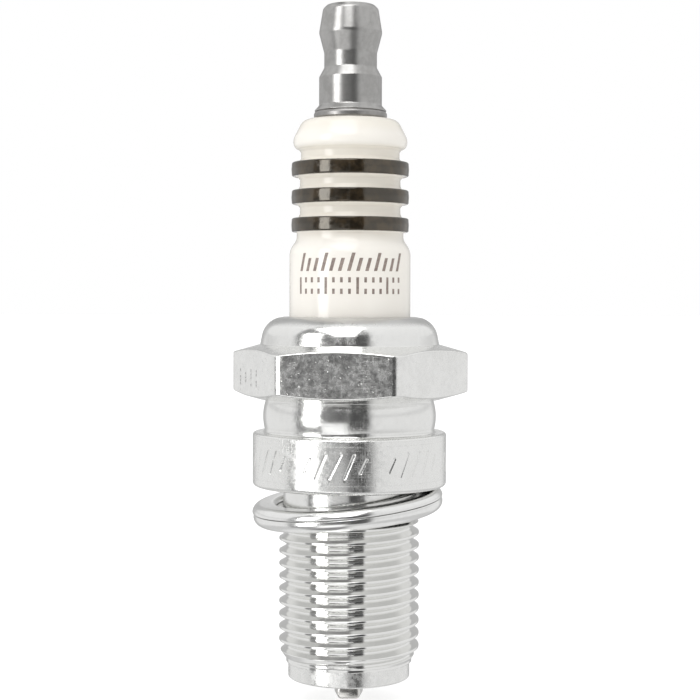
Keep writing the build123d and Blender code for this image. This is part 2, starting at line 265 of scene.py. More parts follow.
class Graph:
    """Short way to write a node tree."""

    def __init__(self, tree):
        self.tree = tree
        tree.nodes.clear()

    def node(self, kind, settings=None, **inputs):
        node = self.tree.nodes.new(kind)
        for key, value in (settings or {}).items():
            setattr(node, key, value)
        for key, value in inputs.items():
            self.put(node.inputs[key.replace("_", " ")], value)
        return node

    def put(self, socket, value):
        if isinstance(value, bpy.types.NodeSocket):
            self.tree.links.new(value, socket)
        else:
            socket.default_value = value

    def math(self, operation, a, b=0.0, clamp=False):
        node = self.node("ShaderNodeMath", {"operation": operation, "use_clamp": clamp})
        self.put(node.inputs[0], a)
        self.put(node.inputs[1], b)
        return node.outputs[0]

    def ramp(self, value, low, high, to_low=0.0, to_high=1.0, smooth=True):
        kind = "SMOOTHSTEP" if smooth else "LINEAR"
        node = self.node("ShaderNodeMapRange", {"interpolation_type": kind})
        for socket, v in zip(node.inputs, (value, low, high, to_low, to_high)):
            self.put(socket, v)
        return node.outputs[0]

    def mix(self, factor, a, b):
        node = self.node("ShaderNodeMix", {"data_type": "RGBA"})
        self.put(node.inputs[0], factor)
        self.put(node.inputs[6], a)
        self.put(node.inputs[7], b)
        return node.outputs[2]

    def noise(self, place, scale, detail=3.0, rough=0.55, stretch=(1, 1, 1)):
        if stretch != (1, 1, 1):
            place = self.node("ShaderNodeMapping", Vector=place, Scale=stretch).outputs[0]
        node = self.node(
            "ShaderNodeTexNoise", Vector=place, Scale=scale, Detail=detail, Roughness=rough
        )
        return node.outputs["Fac"]

    def line(self, field, width):
        """1 along the thin line where a noise field crosses one half, 0 away from it."""
        off = self.math("ABSOLUTE", self.math("SUBTRACT", field, 0.5))
        return self.ramp(off, 0.0, width, 1, 0)

    def axis_distance(self, place):
        """Distance from the Z axis, in metres."""
        axes = self.node("ShaderNodeSeparateXYZ", Vector=place).outputs
        x_squared = self.math("POWER", axes[0], 2.0)
        y_squared = self.math("POWER", axes[1], 2.0)
        return self.math("SQRT", self.math("ADD", x_squared, y_squared))


def colour(r, g, b):
    return (r, g, b, 1.0)


def new_material(name):
    material = bpy.data.materials.new(name)
    material.use_nodes = True
    graph = Graph(material.node_tree)
    place = graph.node("ShaderNodeTexCoord").outputs["Object"]
    shader = graph.node("ShaderNodeBsdfPrincipled")
    output = graph.node("ShaderNodeOutputMaterial")
    graph.tree.links.new(shader.outputs[0], output.inputs["Surface"])
    return material, graph, place, shader


def bump(graph, shader, height, distance, strength=1.0):
    node = graph.node("ShaderNodeBump", Height=height, Distance=distance, Strength=strength)
    graph.put(shader.inputs["Normal"], node.outputs[0])


# Scratches and the fade to the crimped rim on plated metal; depths and lengths in millimetres
SCRATCH_DEPTH = 0.0035
SCRATCH_ROUGHNESS = 0.22
RIM_FADE = 0.6
RIM_ROUGHNESS = 0.2


def metal(
    name,
    light,
    dark,
    rough,
    rough_spread=0.08,
    mottle=0.5,
    grain=0.0012,
    scratches=0.5,
    rings=0.0,
    pits=0.0,
    dull=0.0,
    rim=None,
):
    """Plated or turned metal: blotches in colour and roughness, scratches, pits, turning rings.
    grain, rings and pits are depths in millimetres; dull is the roughness of matt patches;
    rim is a height and a colour: above it the metal fades to that colour and is less glossy."""
    material, graph, place, shader = new_material(name)
    large = graph.noise(place, 420, 3, 0.6)
    small = graph.noise(place, 1900, 5, 0.65)
    fine = graph.noise(place, 7000, 2, 0.5)
    blotch = graph.ramp(graph.math("ADD", large, small), 0.8, 1.25)
    scratch_a = graph.noise(place, 900, 2, 0.4, (0.16, 1.0, 3.2))
    scratch_b = graph.noise(place, 1300, 2, 0.4, (2.6, 0.9, 0.22))
    line_a = graph.line(scratch_a, 0.012)
    line_b = graph.line(scratch_b, 0.009)
    patch = graph.ramp(graph.noise(place, 260, 2, 0.5), 0.5, 0.66)
    lines = graph.math("MULTIPLY", graph.math("MAXIMUM", line_a, line_b), patch)
    tone = graph.math("MULTIPLY", blotch, mottle)
    base = graph.mix(tone, light, dark)
    if rim:
        up = graph.node("ShaderNodeSeparateXYZ", Vector=place).outputs[2]
        crimped = graph.ramp(up, rim[0] * MM, (rim[0] + RIM_FADE) * MM)
        base = graph.mix(crimped, base, rim[1])
    graph.put(shader.inputs["Base Color"], base)
    shader.inputs["Metallic"].default_value = 1.0
    spread = graph.math("MULTIPLY", graph.math("SUBTRACT", small, 0.5), rough_spread * 2)
    worn = graph.math("MULTIPLY", lines, SCRATCH_ROUGHNESS * scratches)
    if dull:
        matt = graph.ramp(graph.noise(place, 1800, 6, 0.70), 0.38, 0.64, 0.0, dull - rough, False)
        worn = graph.math("ADD", worn, matt)
    if rim:
        worn = graph.math("ADD", worn, graph.math("MULTIPLY", crimped, RIM_ROUGHNESS))
    roughness = graph.math("ADD", graph.math("ADD", spread, rough), worn, clamp=True)
    graph.put(shader.inputs["Roughness"], roughness)
    height = graph.math("MULTIPLY", small, grain)
    height = graph.math("ADD", height, graph.math("MULTIPLY", fine, grain * 0.25))
    cuts = graph.math("MULTIPLY", lines, SCRATCH_DEPTH * scratches)
    height = graph.math("SUBTRACT", height, cuts)
    if rings:
        ring = graph.noise(place, 1000, 3, 0.6, (0.02, 0.02, 5.0))
        height = graph.math("ADD", height, graph.math("MULTIPLY", ring, rings))
    if pits:
        cell = graph.node("ShaderNodeTexVoronoi", Vector=place, Scale=2300.0).outputs["Distance"]
        where = graph.ramp(graph.noise(place, 1500, 2), 0.52, 0.62)
        pit = graph.math("MULTIPLY", graph.ramp(cell, 0.08, 0.24, 1, 0), where)
        height = graph.math("SUBTRACT", height, graph.math("MULTIPLY", pit, pits))
    bump(graph, shader, height, MM)
    return material


def glaze(name, white, groove):
    """Glazed alumina with painted shade: a little greyer and warmer where the profile dips between
    the ribs.
    """
    material, graph, place, shader = new_material(name)
    radius = graph.axis_distance(place)
    # Painted shade: the groove colour is mixed in where the radius is small, between the ribs
    groove_shade = graph.ramp(radius, 0.00505, 0.0056, 1, 0)
    cloud = graph.noise(place, 300, 3, 0.5)
    speck = graph.ramp(graph.noise(place, 5200, 2, 0.5), 0.73, 0.79)
    tone = graph.math("MULTIPLY", groove_shade, 0.75)
    tone = graph.math("ADD", tone, graph.math("MULTIPLY", cloud, 0.12))
    tone = graph.math("ADD", tone, graph.math("MULTIPLY", speck, 0.25), clamp=True)
    # The second colour, groove, is the painted shade of the grooves between the ribs
    graph.put(shader.inputs["Base Color"], graph.mix(tone, white, groove))
    graph.put(shader.inputs["Roughness"], graph.ramp(cloud, 0.3, 0.7, 0.10, 0.17))
    shader.inputs["IOR"].default_value = 1.55
    wave = graph.noise(place, 520, 2, 0.4)
    bump(graph, shader, graph.math("MULTIPLY", wave, 0.006), MM)
    return material


def plain(name, light, dark, rough, scale=1500, metallic=0.0, grain=0.003, ior=1.5):
    """Mineral, glass, ink or cast surface with blotches, uneven gloss and fine grain."""
    material, graph, place, shader = new_material(name)
    cloud = graph.noise(place, scale, 5, 0.6)
    fine = graph.noise(place, scale * 4, 2, 0.5)
    graph.put(shader.inputs["Base Color"], graph.mix(graph.ramp(cloud, 0.35, 0.65), light, dark))
    gloss = graph.ramp(fine, 0.3, 0.7, rough * 0.8, min(1, rough * 1.2))
    graph.put(shader.inputs["Roughness"], gloss)
    shader.inputs["Metallic"].default_value = metallic
    shader.inputs["IOR"].default_value = ior
    bump(graph, shader, graph.math("MULTIPLY", cloud, grain), MM)
    return material


def band_glaze(name):
    """Near-black glaze that thins to brown at the edges of each band."""
    material, graph, place, shader = new_material(name)
    radius = graph.axis_distance(place)
    cloud = graph.noise(place, 900, 4, 0.6)
    wander = graph.math("MULTIPLY", graph.math("SUBTRACT", cloud, 0.5), 0.00025)
    thin = graph.ramp(graph.math("ADD", radius, wander), 0.00546, 0.00566, 1, 0)
    blotch = graph.ramp(cloud, 0.4, 0.65)
    body = graph.mix(blotch, colour(0.010, 0.0065, 0.003), colour(0.036, 0.024, 0.012))
    graph.put(shader.inputs["Base Color"], graph.mix(thin, body, colour(0.20, 0.135, 0.075)))
    fine = graph.noise(place, 2600, 3, 0.6)
    graph.put(shader.inputs["Roughness"], graph.ramp(fine, 0.4, 0.75, 0.06, 0.26))
    shader.inputs["IOR"].default_value = 1.85
    shader.inputs["Specular Tint"].default_value = colour(1.0, 0.95, 0.85)
    wave = graph.math("MULTIPLY", cloud, 0.012)
    wave = graph.math("ADD", wave, graph.math("MULTIPLY", fine, 0.003))
    bump(graph, shader, wave, MM)
    return material


BRIGHT = colour(0.90, 0.90, 0.885)
SOFT = colour(0.82, 0.82, 0.805)

shell_bright = metal(
    "shell_bright", BRIGHT, SOFT, 0.11, 0.05, 0.3, 0.0012, 0.35, dull=0.24,
    rim=(15.7, colour(0.62, 0.62, 0.61)),
)
shell_hexagon = metal(
    "shell_hexagon", BRIGHT, SOFT, 0.11, 0.04, 0.7, 0.0014, 0.6, pits=0.014, dull=0.30
)
shell_collar = metal(
    "shell_collar", BRIGHT, SOFT, 0.17, 0.05, 0.25, 0.0009, 0.7, rings=0.0006, dull=0.33
)
shell_pilot = metal(
    "shell_pilot", BRIGHT, SOFT, 0.17, 0.05, 0.35, 0.0014, 0.7, rings=0.0010, dull=0.42
)
# Painted shade inside the punched dimples: a darker colour, with a rougher finish than the flat
# around them
shell_dimple_shade = metal("shell_dimple_shade", colour(0.56, 0.56, 0.55), colour(0.42, 0.42, 0.41), 0.32)
shell_threaded = metal("shell_threaded", BRIGHT, SOFT, 0.09, 0.04, 0.3, 0.0010, 0.3, pits=0.002)
gasket_metal = metal("gasket_metal", colour(0.92, 0.92, 0.91), SOFT, 0.19, 0.05, 0.3, 0.0014, 0.4)
terminal_metal = metal(
    "terminal_metal", colour(0.48, 0.475, 0.465), colour(0.39, 0.385, 0.375), 0.30, 0.05, 0.9,
    0.0009, 0.6, rings=0.0010,
)
stud_metal = metal(
    "stud_metal", colour(0.40, 0.39, 0.38), colour(0.28, 0.275, 0.27), 0.38, 0.08, 0.7, 0.0020,
    0.4, rings=0.0015,
)
strap_metal = metal(
    "strap_metal", colour(0.86, 0.85, 0.83), colour(0.66, 0.65, 0.62), 0.24, 0.10, 0.7, 0.0035, 0.8
)
# The second colour is painted shade for the grooves between the ribs
alumina = glaze("alumina_glaze", colour(0.84, 0.81, 0.755), colour(0.795, 0.755, 0.675))
black = band_glaze("black_glaze")
ink = plain("print_ink", colour(0.20, 0.155, 0.135), colour(0.30, 0.245, 0.215), 0.38, 2600)

SEAL_TONES = (colour(0.05, 0.05, 0.055), colour(0.10, 0.10, 0.11))
PACKING = colour(0.62, 0.61, 0.60)
NICKEL_TONES = (colour(0.66, 0.64, 0.60), colour(0.45, 0.43, 0.4))
COPPER_TONES = (colour(0.90, 0.48, 0.32), colour(0.6, 0.3, 0.2))

hidden_looks = {
    "upper_glass_seal": plain("seal_glass_a", *SEAL_TONES, 0.3),
    "lower_glass_seal": plain("seal_glass_b", *SEAL_TONES, 0.3),
    "resistor": plain("resistor_body", colour(0.06, 0.055, 0.05), colour(0.12, 0.11, 0.10), 0.7),
    "talc_fill": plain("pressed_talc", colour(0.78, 0.76, 0.72), colour(0.64, 0.62, 0.58), 0.85),
    "seat_packing": metal("packing_washer", PACKING, SOFT, 0.35),
    "upper_packing_ring": metal("packing_wire_a", PACKING, SOFT, 0.32),
    "lower_packing_ring": metal("packing_wire_b", PACKING, SOFT, 0.32),
    "centre_electrode": metal("electrode_nickel", *NICKEL_TONES, 0.3),
    "centre_electrode_core": metal("electrode_copper", *COPPER_TONES, 0.3),
    "tip_weld": metal("weld_bead", colour(0.58, 0.57, 0.55), colour(0.36, 0.35, 0.34), 0.4),
    "iridium_tip": metal("tip_wire", colour(0.80, 0.79, 0.77), colour(0.6, 0.6, 0.6), 0.2),
    "terminal_stud": stud_metal,
}


# ---------------------------------------------------------------- metal shell

# The flat with the small grid of dots. Flat 0 is just clockwise of the corner near +X, seen from
# above, and the others follow anticlockwise.
MARKED_FLAT = 4
FLAT_ROWS = 46
DIMPLE_COLUMNS = 4
DIMPLE_ROWS = 5
DIMPLE_R = 0.17
DIMPLE_DEPTH = 0.07
STROKES = 44
STROKE_HALF_WIDTH = 0.17
STROKE_DEPTH = 0.06


def hex_radius(angle):
    """Distance from the axis to the rounded hexagon."""
    corner = math.radians(HEX_CORNER_DEG)
    from_corner = (angle - corner + TURN / 12) % (TURN / 6) - TURN / 12
    from_flat = TURN / 12 - abs(from_corner)
    straight = (HEX_HALF_FLATS - HEX_ROUND) * math.tan(TURN / 12)
    if from_flat <= math.atan2(straight, HEX_HALF_FLATS):
        return HEX_HALF_FLATS / math.cos(from_flat)
    centre = (HEX_HALF_FLATS - HEX_ROUND) / math.cos(TURN / 12)
    side = centre * math.sin(from_corner)
    return centre * math.cos(from_corner) + math.sqrt(HEX_ROUND**2 - side**2)


def hex_angles():
    """Angles for the shell's upper part: close together round each corner, and on one flat
    close enough for its columns of small dimples."""
    straight = (HEX_HALF_FLATS - HEX_ROUND) * math.tan(TURN / 12)
    end = math.atan2(straight, HEX_HALF_FLATS)
    angles = []
    for flat in range(6):
        middle = math.radians(HEX_CORNER_DEG - 30 + 60 * flat)
        count = 170 if flat == MARKED_FLAT else 26
        reach = HEX_HALF_FLATS * math.tan(end - 0.004)
        for x in np.linspace(-reach, reach, count):
            angles.append(middle + math.atan2(x, HEX_HALF_FLATS))
        corner = middle + TURN / 12
        for turn in np.linspace(-1, 1, 11):
            angles.append(corner + turn * (TURN / 12 - end))
    return np.array(angles)


def dimple_depth(x, z):
    """Depth of the dot-punched tally on one flat: four short columns of dots, some left out."""
    depth = 0.0
    for column in range(DIMPLE_COLUMNS):
        for row in range(DIMPLE_ROWS):
            if (column * DIMPLE_ROWS + row) % 4 == 2:
                continue
            off = math.hypot(x - (1.3 - column * 1.5), z - (10.1 + row * 0.34))
            depth = max(depth, DIMPLE_DEPTH * max(0.0, 1 - (off / DIMPLE_R) ** 2))
    return depth


def upper_outline(angle):
    """Shell profile at one angle from the top of the collar band up, over and down the bore."""
    side = hex_radius(angle)
    drop = (side - HEX_FACE_R) * HEX_CHAMFER
    points = [(COLLAR_R, BAND_TOP, 0), (COLLAR_R, BAND_TOP + SEAM, 0), (COLLAR_R, COLLAR_TOP, 0.36)]
    points += [(8.52, COLLAR_TOP, 0.16)]
    points += through((8.42, 5.6), (8.58, 6.75), (8.35, 8.35), 14)
    points += [(8.32, HEX_BOTTOM, 0.1), (HEX_FACE_R, HEX_BOTTOM, 0.25)]
    points += [(side, HEX_BOTTOM + drop, 0.2)]
    low = HEX_BOTTOM + drop + 0.4
    high = HEX_TOP - drop - 0.4
    points += [(side, low + (high - low) * k / FLAT_ROWS, 0) for k in range(FLAT_ROWS + 1)]
    points += [(side, HEX_TOP - drop, 0.2), (HEX_FACE_R, HEX_TOP, 0.1), (8.95, HEX_TOP, 0.04)]
    points += [(8.88, 13.98, 0.05)]
    points += through((8.72, 14.82), (8.3, 15.78), (7.6, 16.385), 12)
    points += through((7.53, 16.43), (7.22, 16.56), (6.85, 16.635), 4)
    points += through((6.75, 16.65), (6.45, 16.68), (6.22, 16.6), 4)
    points += [(LIP_BORE_R, 16.4, 0.05), (LIP_BORE_R, LIP_UNDERSIDE)]
    points += [(BULGE_BORE_R, LIP_UNDERSIDE), (BULGE_BORE_R, BAND_TOP)]
    outline = rounded(points)
    flat = math.radians(HEX_CORNER_DEG - 30 + 60 * MARKED_FLAT)
    away = (angle - flat + math.pi) % TURN - math.pi
    if abs(away) < math.radians(27):
        x = HEX_HALF_FLATS * math.tan(away)
        for point in outline:
            if abs(point[0] - side) < 1e-6:
                point[0] -= dimple_depth(x, point[1])
    return outline


def shell_upper():
    angles = hex_angles()
    outlines = [upper_outline(angle) for angle in angles]
    part = revolve(outlines, angles)
    piece = add_piece(
        "shell_upper", [part], "plug_body", shell_bright, ["metal_shell"]
    )
    piece.data.materials.append(shell_hexagon)
    piece.data.materials.append(shell_dimple_shade)
    piece.data.materials.append(shell_collar)
    flat = math.radians(HEX_CORNER_DEG - 30 + 60 * MARKED_FLAT)
    for polygon in piece.data.polygons:
        middle = polygon.center / MM
        radius = math.hypot(middle.x, middle.y)
        if HEX_BOTTOM - 0.1 < middle.z < HEX_TOP + 0.05 and radius > 9.3:
            away = math.atan2(middle.y, middle.x) - flat
            along = radius * math.sin(away)
            # Faces deep in a dimple take the painted dimple shade
            in_dimple_shade = math.cos(away) > 0.9 and dimple_depth(along, middle.z) > 0.025
            polygon.material_index = 2 if in_dimple_shade else 1
        elif middle.z < COLLAR_TOP + 0.01 and radius > 8.6:
            polygon.material_index = 3


def stroke_depth(along, height):
    """Depth of the slanted strokes rolled round the collar; along is the arc length."""
    depth = np.zeros_like(along)
    step = TURN * COLLAR_R / STROKES
    round_it = step * STROKES
    for k in range(STROKES):
        if k % 6 == 5:
            continue
        low, high = (1.65, 3.8) if k % 6 in (1, 2, 3) else (2.15, 3.35)
        lean = 0.42 if k % 2 else 0.5
        t = np.clip((height - low) / (high - low), 0, 1)
        off = (along - k * step - lean * (high - low) * (t - 0.5) + round_it / 2) % round_it
        off = off - round_it / 2
        over = np.maximum(low - height, 0) + np.maximum(height - high, 0)
        away = np.hypot(off * 0.9, over)
        groove = np.clip(1 - (away / STROKE_HALF_WIDTH) ** 2, 0, 1)
        depth = np.maximum(depth, STROKE_DEPTH * groove)
    return depth


def collar_band():
    """The collar's cylinder, fine enough to hold its rolled strokes."""
    angles = even_angles(1500)
    heights = np.concatenate([[BAND_BOTTOM, BAND_BOTTOM + SEAM, 1.2], np.linspace(1.45, 4.0, 46),
                              [4.2, BAND_TOP - SEAM, BAND_TOP]])
    along = angles[None, :] * COLLAR_R * np.ones((len(heights), 1))
    radius = COLLAR_R - stroke_depth(along, heights[:, None] * np.ones((1, len(angles))))
    rows = np.concatenate([radius, np.full((2, len(angles)), 8.0)])
    tall = np.concatenate([heights, [BAND_TOP, BAND_BOTTOM]])
    points = np.stack(
        [rows * np.cos(angles), rows * np.sin(angles), tall[:, None] * np.ones_like(rows)], axis=-1
    )
    faces = grid_faces(len(tall), len(angles), wrap_rows=True)
    part = (points.reshape(-1, 3), faces)
    add_piece("collar_band", [part], "plug_body", shell_collar, ["metal_shell"])


def thread_part(columns):
    """Helical grid of the thread. Its rows climb with the thread; both ends are trimmed flat."""
    run = THREAD_DEPTH * math.tan(math.radians(30))
    root = THREAD_R - THREAD_DEPTH
    tooth = [
        (0, THREAD_R),
        (HALF_CREST, THREAD_R, CREST_ROUND),
        (HALF_CREST + run, root, ROOT_ROUND),
        (PITCH - HALF_CREST - run, root, ROOT_ROUND),
        (PITCH - HALF_CREST, THREAD_R, CREST_ROUND),
        (PITCH, THREAD_R),
    ]
    tooth = divided(rounded(tooth, closed=False), 0.09)[:-1]
    per_turn = len(tooth)
    rows = THREAD_TURNS * per_turn
    index = np.arange(rows)
    along = tooth[index % per_turn, 0] + PITCH * (index // per_turn)
    shape = tooth[index % per_turn, 1]
    lowest = CREST_AT_X - PITCH * (THREAD_TURNS - 2)
    columns_at = np.arange(columns)
    height = lowest + along[:, None] + PITCH * columns_at[None, :] / columns
    height = np.clip(height, THREAD_BOTTOM, THREAD_TOP)
    radius = np.repeat(shape[:, None], columns, axis=1)
    entry = NECK_R + (THREAD_TOP - height) * 1.6
    lead = PILOT_R + (height - THREAD_BOTTOM) * 0.69
    limit = np.minimum(entry, lead)
    radius = -0.02 * np.log(np.exp(-radius / 0.02) + np.exp(-limit / 0.02))
    fade = np.clip((THREAD_TOP - height) / 0.5, 0, 1)
    radius = np.maximum(radius, NECK_R - (NECK_R - root) * fade)
    radius = np.maximum(radius, PILOT_R)
    radius[height >= THREAD_TOP] = NECK_R
    radius[height <= THREAD_BOTTOM] = PILOT_R
    angles = columns_at * TURN / columns
    points = np.stack([radius * np.cos(angles), radius * np.sin(angles), height], axis=-1)
    faces = []
    for j in range(rows - 1):
        for i in range(columns):
            if i + 1 < columns:
                faces.append((j * columns + i, j * columns + i + 1,
                              (j + 1) * columns + i + 1, (j + 1) * columns + i))
            elif j + per_turn + 1 < rows:
                faces.append((j * columns + i, (j + per_turn) * columns,
                              (j + per_turn + 1) * columns, (j + 1) * columns + i))
    return points.reshape(-1, 3), faces


def shell_lower():
    columns = 224
    angles = even_angles(columns)
    foot = [(NECK_R, THREAD_TOP, 0), (NECK_R, THREAD_TOP + SEAM, 0), (NECK_R, 0.0, 0.3)]
    foot += [(COLLAR_R, 0.0, 0.42), (COLLAR_R, BAND_BOTTOM - SEAM, 0), (COLLAR_R, BAND_BOTTOM, 0)]
    foot += [(7.0, BAND_BOTTOM, 0)]
    end = [(SHELL_BORE_R, 1.0, 0), (SHELL_BORE_R, -7.0, 0)]
    end += [(4.1, -8.4, 0), (4.1, -9.4), (4.75, -9.9)]
    end += [(4.75, -REACH, 0.15), (PILOT_R, -REACH, 0.14)]
    end += [(PILOT_R, THREAD_BOTTOM - SEAM, 0), (PILOT_R, THREAD_BOTTOM, 0)]
    foot = rounded(foot, closed=False)
    end = rounded([(7.0, BAND_BOTTOM, 0)] + end, closed=False)
    parts = [
        revolve(foot, angles, closed=False),
        revolve(end, angles, closed=False),
        thread_part(columns),
    ]
    piece = add_piece(
        "shell_lower", parts, "plug_body", shell_threaded, ["metal_shell"]
    )
    piece.data.materials.append(shell_pilot)
    piece.data.materials.append(shell_collar)
    piece.data.materials.append(shell_bright)
    for polygon in piece.data.polygons:
        if polygon.center.z < (THREAD_BOTTOM + 0.02) * MM:
            polygon.material_index = 1
        elif polygon.center.z > -0.01 * MM and polygon.center.xy.length > 8.9 * MM:
            polygon.material_index = 2
        elif polygon.center.z > THREAD_TOP * MM:
            polygon.material_index = 3


# ---------------------------------------------------------------- insulator


def insulator():
    points = [(5.9, 16.3), (BODY_R, 16.4), (BODY_R, 22.7, 0)]
    points += through((BODY_R, 22.75), (5.86, 23.4), (5.63, 23.8), 6)
    points += through((5.59, 23.87), (5.4, 24.15), (5.29, 24.6), 6)
    for centre in reversed(RIB_CENTRES):
        base = centre - RIB_HALF
        top = centre + RIB_HALF
        if centre != RIB_CENTRES[-1]:
            points += [(4.99, base - 0.95, 0.2), (4.97, base - 0.35, 0.2)]
        points += [(5.29, base, 0.1), (RIB_LAND_R, base), (RIB_LAND_R, top), (5.16, top, 0.1)]
    points += [(4.88, 32.3, 0.2), (4.88, 32.95, 0.2), (5.12, 33.22, 0.08)]
    points += through((5.2, 33.24), (5.4, 33.34), (5.55, 33.52), 5)
    points += through((5.58, 33.58), (5.65, 34.0), (5.5, 34.58), 7)
    points += [(5.22, 35.12, 0), (4.95, 35.64, 0.1)]
    points += through((4.9, 35.72), (4.58, 36.04), (4.15, 36.18), 6)
    points += [(3.9, 36.2, 0.1), (1.95, 36.2), (1.95, 0.9), (1.3, 0.5), (1.3, -17.9, 0.08)]
    points += [(2.3, -17.9, 0.25), (3.7, -9.4, 0.2), (3.7, -8.15), (5.0, -7.4), (5.0, 2.4)]
    points += [(7.5, 4.6, 0.3), (7.5, 10.4, 0.3), (5.9, 10.4, 0.1)]
    turned("insulator_body", points, "plug_body", alumina, ["insulator"], 256)


def rib_bands():
    names = ("rib_glaze_top", "rib_glaze_middle", "rib_glaze_bottom")
    for name, centre in zip(names, RIB_CENTRES):
        base = centre - RIB_HALF
        top = centre + RIB_HALF
        outline = [(RIB_LAND_R, base, 0), (RIB_R - 0.05, base, 0.36), (RIB_R, centre, 1.2)]
        outline += [(RIB_R - 0.05, top, 0.36), (RIB_LAND_R, top, 0)]
        turned(name + "_band", outline, "plug_body", black, [name], 256)


PRINT_PROUD = 0.012
PRINT_SUNK = 0.02


def print_bar(along, low, width, tall, lean):
    """One printed bar wrapped on the insulator's body, a little proud of it."""
    outer = BODY_R + PRINT_PROUD
    inner = BODY_R - PRINT_SUNK
    across = 4
    points = []
    for radius in (outer, inner):
        for row in range(2):
            for column in range(across + 1):
                x = along + lean * row * tall + width * (column / across - 0.5)
                angle = -math.pi / 2 + x / BODY_R
                z = low + row * tall
                points.append((radius * math.cos(angle), radius * math.sin(angle), z))
    n = across + 1
    faces = []
    for c in range(across):
        faces.append((c, c + 1, n + c + 1, n + c))
        faces.append((2 * n + c + 1, 2 * n + c, 3 * n + c, 3 * n + c + 1))
        faces.append((c + 1, c, 2 * n + c, 2 * n + c + 1))
        faces.append((n + c, n + c + 1, 3 * n + c + 1, 3 * n + c))
    faces.append((0, n, 3 * n, 2 * n))
    faces.append((n - 1, 3 * n - 1, 4 * n - 1, 2 * n - 1))
    return points, faces


def insulator_print():
    """Plain two-row tally in place of printed words."""
    parts = []
    for k in range(13):
        tall = 1.75 if k % 3 == 0 else 1.25
        parts.append(print_bar(-5.4 + 0.88 * k, 21.15, 0.34, tall, 0.28))
    for k in range(15):
        tall = 1.6 if k % 4 == 0 else 0.5
        parts.append(print_bar(-5.5 + 0.78 * k, 18.95, 0.26, tall, 0.0))
        if k % 4:
            parts.append(print_bar(-5.5 + 0.78 * k, 20.05, 0.26, 0.5, 0.0))
    piece = add_piece("insulator_print", parts, "plug_body", ink)
    piece.data.polygons.foreach_set("use_smooth", [False] * len(piece.data.polygons))


# ---------------------------------------------------------------- terminal, gasket, electrode


def terminal_nut():
    points = [(2.06, 37.2), (2.31, 36.97), (3.52, 36.97, 0.07), (3.56, 37.08, 0.06)]
    points += [(3.11, 37.58, 0.25), (3.11, 40.38, 0.2), (2.61, 41.3, 0.35), (2.61, 42.75, 1.1)]
    points += [(3.13, 44.75, 0.9), (2.75, 47.1, 0.5), (2.35, 47.5, 0.4), (0.0, 47.62, 0)]
    points += [(0.0, 44.5, 0), (2.06, 43.4)]
    turned("terminal_cap_nut", points, "terminal_cap", terminal_metal,
           ["terminal_nut"], 192)


def gasket_frame():
    """Where the hanging washer's own axis is: its flat place turned by the joint's rest tilt."""
    joint = [j for j in frame["joints"] if j["name"] == "gasket_tilt"][0]
    origin = Vector(joint["pos_m"])
    axis = Vector(joint["axis"])
    turn = Matrix.Rotation(-math.radians(joint["range_deg"][1]), 4, axis)
    return Matrix.Translation(origin) @ turn @ Matrix.Translation(-origin)


def gasket():
    """Folded washer: two rolled lips that meet at a seam round the outer edge."""
    points = [(7.0, -GASKET_HALF, 0.5)]
    points += through((8.62, -GASKET_HALF), (9.2, -0.81), (9.44, -0.2), 14)
    points += [(9.38, 0.13, 0.08), (8.9, 0.14, 0.02), (8.9, 0.18, 0.02), (9.47, 0.21, 0.08)]
    points += through((9.49, 0.34), (9.215, 0.85), (8.6, GASKET_HALF), 14)
    points += through((7.6, GASKET_HALF), (7.176, 0.899), (7.0, 0.475), 10)
    outline = rounded(points)
    flat, faces = revolve(outline, even_angles(256))
    flat = flat + np.array([GASKET_SHIFT_X, 0.0, -GASKET_OFF_SEAT - GASKET_HALF])
    place = gasket_frame()
    points = [tuple(place @ Vector(p * MM) / MM) for p in flat]
    add_piece("gasket_washer", [(points, faces)], "gasket_ring", gasket_metal,
              ["gasket"])


def strap_section(width, thick, corner):
    """Rounded rectangle, counter-clockwise."""
    outline = [(-width / 2, -thick / 2, corner), (width / 2, -thick / 2, corner),
               (width / 2, thick / 2, corner), (-width / 2, thick / 2, corner)]
    return rounded(outline)


def ground_electrode():
    """Strap bent under the tip, narrowing to a small square end."""
    leg_y = STRAP_LEG_Y
    bar_z = STRAP_BAR_Z
    bend = STRAP_BEND_R
    level = math.pi / 2
    stations = [((leg_y, -18.9), 0.0, STRAP_WIDTH), ((leg_y, bar_z + bend), 0.0, STRAP_WIDTH)]
    for k in range(1, 13):
        turn = level * k / 12
        y = leg_y - bend + bend * math.cos(turn)
        z = bar_z + bend - bend * math.sin(turn)
        stations.append(((y, z), turn, STRAP_WIDTH))
    taper = ((1.62, STRAP_WIDTH), (1.5, 2.84), (1.38, 2.8), (-0.4, 2.3), (-0.6, 2.22))
    rounded_end = ((-0.7, 2.08), (-0.75, 1.85))
    for y, width in taper + rounded_end:
        stations.append(((y, bar_z), level, width))
    thicknesses = [STRAP_THICK] * (len(stations) - len(rounded_end)) + [1.14, 1.0]
    points = []
    for ((y, z), turn, width), thick in zip(stations, thicknesses):
        for x, across in strap_section(width, thick, STRAP_CORNER):
            points.append((x, y + across * math.cos(turn), z - across * math.sin(turn)))
    ring = len(strap_section(STRAP_WIDTH, STRAP_THICK, STRAP_CORNER))
    faces = grid_faces(len(stations), ring)
    faces = [tuple(reversed(face)) for face in faces]
    faces.append(tuple(range(ring)))
    last = (len(stations) - 1) * ring
    faces.append(tuple(last + i for i in reversed(range(ring))))
    add_piece("ground_strap", [(points, faces)], "plug_body", strap_metal,
              ["ground_electrode"])


# ---------------------------------------------------------------- stage, light, camera


# Metres
FLOOR_GAP = 0.0002
FLOOR_HALF = 3.0


